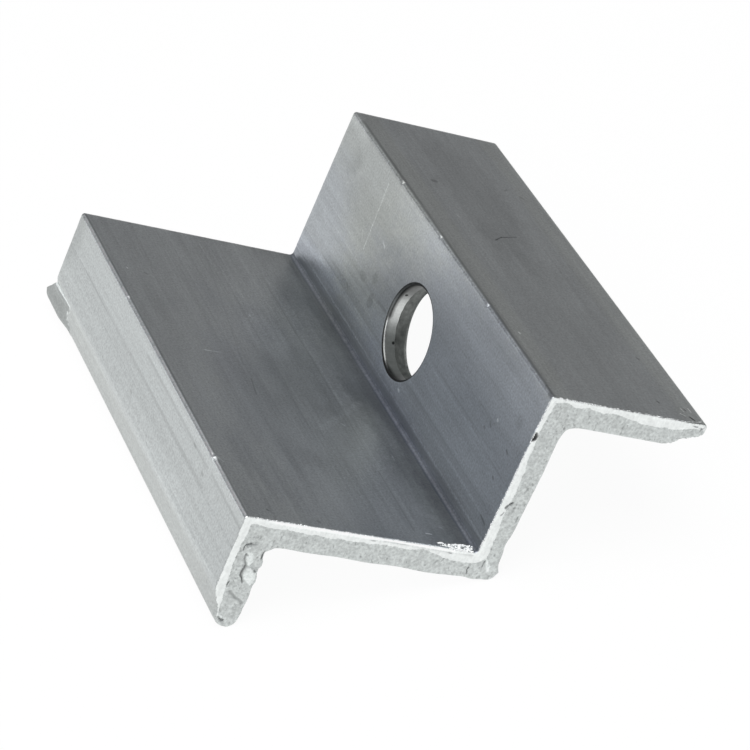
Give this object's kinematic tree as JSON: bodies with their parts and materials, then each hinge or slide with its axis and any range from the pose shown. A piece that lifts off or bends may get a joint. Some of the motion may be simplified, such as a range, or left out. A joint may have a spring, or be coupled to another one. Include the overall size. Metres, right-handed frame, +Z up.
{
  "type": "solar end clamp",
  "caption": "Stepped aluminium end clamp: a rounded lip grips the module's frame, a flange takes a bolt through a punched hole, and a leg stands on the rail.",
  "frame": {"origin": "on the surface the clamp lies on, below the middle of its bounding box", "axes": "+Z up with the clamp lying on its lip's nose and its heel; +Y along the extrusion, away from the front sawn end; +X from the lip towards the leg"},
  "size_m": [0.0436, 0.0524, 0.0177],
  "materials": {
    "mill_aluminium": "mill finish, bright and a little scratched, with rough sawn ends"
  },
  "bodies": {
    "root": {"end_clamp": "mill_aluminium"}
  },
  "joints": []
}
